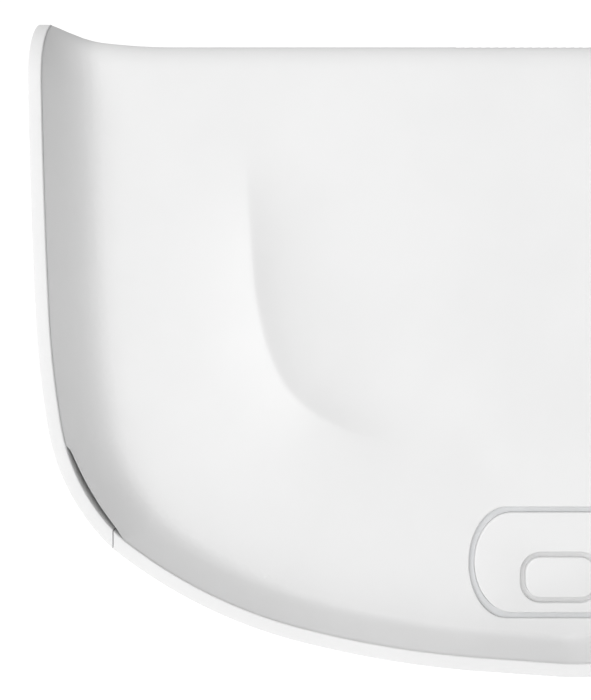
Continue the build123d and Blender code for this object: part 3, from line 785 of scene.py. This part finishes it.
def add_hole_bands(sheet):
    """Rounded edges round each opening; returns the outer loop of each."""
    outer_loops = []
    growths = [0, 0.02, 0.06, 0.11, HOLE_ROUND, 0.3]
    for loop in face_holes():
        previous = None
        for growth in growths:
            drop = float(rounding(growth, HOLE_ROUND))
            rows = sheet.add(loop(growth), drop)
            if previous:
                sheet.band(previous, rows, closed=True)
            previous = rows
        outer_loops.append(previous)
    return outer_loops


def inside_loop(points, loop):
    """Which points lie inside a closed loop."""
    result = np.zeros(len(points), bool)
    x, z = points.T
    for (x1, z1), (x2, z2) in zip(loop, np.roll(loop, -1, axis=0)):
        crosses = (z1 > z) != (z2 > z)
        with np.errstate(divide="ignore", invalid="ignore"):
            result ^= crosses & (x < (x2 - x1) * (z - z1) / (z2 - z1) + x1)
    return result


def inner_points(border, holes):
    """Points that fill the face: an even lattice, rows on the rolled edge, and lines by the ridge."""
    rows = np.arange(BOTTOM, TOP - ROLL_RADIUS, SPACING * ROW_PITCH)
    columns = np.arange(-HALF_WIDTH, HALF_WIDTH, SPACING)
    lattice = [(x + (index % 2) * SPACING / 2, z) for index, z in enumerate(rows) for x in columns]
    for angle in np.linspace(0, math.pi / 2, 14)[:-1]:
        below = ROLL_RADIUS * (1 - math.sin(angle))
        lattice += [(x, face_crest(x) - below) for x in columns]
    crest = smooth_curve(RIDGE, 8)
    normal = inward(crest)
    lines = [crest + normal * gap for gap in (-1.0, -0.5, -0.2, 0, 0.2, 0.5, 1.0)]
    lines += [line * (-1, 1) for line in lines]
    fractions = even_then_fine(HALF_LENGTH)
    lines += [full_line(COVER_INSET + step, fractions) for step in (2.4, 3.2, 4.1, 5.1, 6.2)]
    near = np.vstack(lines)
    lattice = np.array(lattice)
    for side in (1, -1):
        distance, _ = distance_to(lattice, crest * (side, 1))
        lattice = lattice[distance > CLEAR_OF_RIDGE]
    points = np.vstack([lattice, near])
    keep = inside_loop(points, border) & (points[:, 1] < face_crest(points[:, 0]) - 0.01)
    keep &= distance_to(points, np.vstack([border, border[:1]]))[0] > CLEAR_OF_BORDER
    for hole in holes:
        keep &= ~inside_loop(points, hole)
        keep &= distance_to(points, np.vstack([hole, hole[:1]]))[0] > CLEAR_OF_HOLE
    return points[keep]


def triangles_between(flat, edges, border, holes):
    """Triangles over flat points that keep given edges, inside a border and outside its holes."""
    verts, _, triangles, origins, _, _ = geometry.delaunay_2d_cdt(flat, edges, [], 0, 1e-6)
    corners = np.array([[tuple(verts[i]) for i in triangle] for triangle in triangles])
    first, second = corners[:, 1] - corners[:, 0], corners[:, 2] - corners[:, 0]
    keep = np.abs(first[:, 0] * second[:, 1] - first[:, 1] * second[:, 0]) > SLIVER
    centres = corners.mean(axis=1)
    keep &= inside_loop(centres, border)
    for hole in holes:
        keep &= ~inside_loop(centres, hole)
    return [[origins[i][0] for i in triangle] for triangle, kept in zip(triangles, keep) if kept]


def add_middle(sheet, border_rows, hole_rows):
    """Triangles between the border, the openings and the top edge."""
    corner_left, corner_right = sheet.points[border_rows[0]], sheet.points[border_rows[-1]]
    count = int((corner_right[0] - corner_left[0]) / SPACING)
    top = [(x, face_crest(x)) for x in np.linspace(corner_right[0], corner_left[0], count)[1:-1]]
    top_rows = sheet.add(top)
    loops = [border_rows + top_rows] + hole_rows
    border = np.array([sheet.points[i] for i in loops[0]])
    holes = [np.array([sheet.points[i] for i in loop]) for loop in hole_rows]
    fill_rows = sheet.add(inner_points(border, holes))
    used = sum(loops, []) + fill_rows
    edges, first = [], 0
    for loop in loops:
        edges += [(first + a, first + (a + 1) % len(loop)) for a in range(len(loop))]
        first += len(loop)
    flat = [Vector(sheet.points[i]) for i in used]
    for triangle in triangles_between(flat, edges, border, holes):
        sheet.faces.append(tuple(used[i] for i in triangle))


def solid_from(sheet, front, back):
    """Closes a sheet into a solid with a front and a back height at each point."""
    points = [in_space(x, z, out) for (x, z), out in zip(sheet.points, front)]
    points += [in_space(x, z, out) for (x, z), out in zip(sheet.points, back)]
    shift = len(sheet.points)
    faces = list(sheet.faces) + [tuple(i + shift for i in face[::-1]) for face in sheet.faces]
    uses = {}
    for face in sheet.faces:
        for a, b in zip(face, face[1:] + face[:1]):
            key = (min(a, b), max(a, b))
            uses[key] = uses.get(key, 0) + 1
    for (a, b), count in uses.items():
        if count == 1:
            faces.append((a, b, b + shift, a + shift))
    return points, faces


def scooped_face():
    sheet = Sheet()
    border = add_border(sheet)
    holes = add_hole_bands(sheet)
    add_middle(sheet, border, holes)
    points = np.array(sheet.points)
    outline = full_line(0, np.linspace(0, 1, 260))
    edge, place = distance_to(points, outline)
    normal = inward(outline)
    sideways = np.abs(np.interp(place, np.linspace(0, 1, len(outline)), normal[:, 0]))
    edge = settle_insets(sheet, edge)
    front = face_height(points, edge, sideways) - np.array(sheet.drops)
    back = np.where(edge > FLANGE_WIDTH, FACE_OUT - FACE_THICKNESS, COVER_BACK)
    back = np.minimum(back, front - THINNEST)
    mesh_points, faces = solid_from(sheet, front, back)
    return make_piece("scooped_face", mesh_points, faces, "housing", "shell_plastic", ["front_cover"], 50)


def settle_insets(sheet, distance):
    """Inset of each point: known in the border's bands, elsewhere its distance less the slit's push."""
    bump = slit_bump(np.array(sheet.points))
    push = bump
    for _ in range(4):
        push = bump * slit_fade(distance - push - COVER_INSET)
    known = np.array([np.nan if inset is None else inset for inset in sheet.insets])
    return np.where(np.isnan(known), distance - push, known)


# ---------------------------------------------------------------- button and its inlay
def plate_rings(loop_of, out_back, out_front, radius):
    """Loops of a flat-topped plate with a rounded front edge, from the back up and in."""
    rows = [(loop_of(0), out_back)]
    for angle in np.linspace(0, math.pi / 2, 6):
        inset = radius * (1 - math.cos(angle))
        rows.append((loop_of(-inset), out_front - radius * (1 - math.sin(angle))))
    return rows


def stack_loops(rows, cap_ends):
    """Faces between loops of the same count, with the ends closed where asked."""
    points, faces = [], []
    count = len(rows[0][0])
    for loop, out in rows:
        points += [in_space(x, z, out) for x, z in loop]
    for level in range(len(rows) - 1):
        for step in range(count):
            after = (step + 1) % count
            a, b = level * count, (level + 1) * count
            faces.append((a + step, a + after, b + after, b + step))
    if cap_ends[0]:
        faces.append(list(range(count))[::-1])
    if cap_ends[1]:
        faces.append([len(points) - count + i for i in range(count)])
    return points, faces


def button_inlay():
    groove = INLAY_GROOVE_WIDTH / 2
    back = FACE_OUT - POCKET_DEPTH
    rows = plate_rings(lambda growth: rounded_pill(growth - groove), back, FACE_OUT, HOLE_ROUND)
    points, faces = stack_loops(rows, (True, True))
    return make_piece("inlay_pad", points, faces, "bell_button", "button_plastic", ["button_inlay"])


def button_cap():
    """The cap: rounded outer edge, flat face, and a rounded pocket for the inlay."""
    outer, inner = BUTTON_GROOVE_WIDTH / 2 - CAP_SWELL, INLAY_GROOVE_WIDTH / 2
    back, pocket = -high("button_cap").y, FACE_OUT - POCKET_DEPTH
    reach, thickness = CAP_FLANGE
    flange = back + thickness
    rows = [(ellipse_pill(reach), back), (ellipse_pill(reach), flange), (ellipse_pill(-outer), flange)]
    rows += plate_rings(lambda growth: ellipse_pill(growth - outer), flange, FACE_OUT, HOLE_ROUND)[1:]
    points, faces = stack_loops(rows, (True, False))
    edge_rows = list(range(len(points) - len(rows[-1][0]), len(points)))
    inner_rows = [(rounded_pill(inner + radius_out), FACE_OUT - drop) for radius_out, drop in rounded_lip()]
    inner_rows.append((rounded_pill(inner), pocket))
    first = len(points)
    pocket_points, pocket_faces = stack_loops(inner_rows, (False, True))
    points += pocket_points
    faces += [[i + first for i in face] for face in pocket_faces]
    count = len(inner_rows[0][0])
    faces += fill_between(points, edge_rows, list(range(first, first + count)))
    return make_piece("button_pad", points, faces, "bell_button", "button_plastic", ["button_cap"])


def rounded_lip():
    """Distance and drop pairs down a rounded inner edge."""
    pairs = []
    for angle in np.linspace(math.pi / 2, 0, 6):
        pairs.append((HOLE_ROUND * (1 - math.cos(angle)), HOLE_ROUND * (1 - math.sin(angle))))
    return pairs


def fill_between(points, outer_rows, inner_rows):
    """Triangles of a flat face between two loops."""
    used = outer_rows + inner_rows
    flat = [Vector((points[i][0], points[i][2])) for i in used]
    split = len(outer_rows)
    edges = [(a, (a + 1) % split) for a in range(split)]
    edges += [(split + a, split + (a + 1) % len(inner_rows)) for a in range(len(inner_rows))]
    loops = np.array([tuple(point) for point in flat])
    triangles = triangles_between(flat, edges, loops[:split], [loops[split:]])
    return [tuple(used[i] for i in triangle) for triangle in triangles]


# ---------------------------------------------------------------- carried-over CAD nodes
def dress_cad_nodes():
    """Every CAD node that stays gets its procedural material."""
    slots = {entry["node"]: entry["material_slot"] for entry in frame["record"]["subparts"]}
    for name, node in frame["nodes"].items():
        material = MATERIALS[slots[name]]
        if not node.material_slots:
            node.data.materials.append(material)
        for slot in node.material_slots:
            slot.material = material


make_stage()
dress_cad_nodes()
cheek(-1)
cheek(1)
bottom_rim()
scooped_face()
button_cap()
button_inlay()
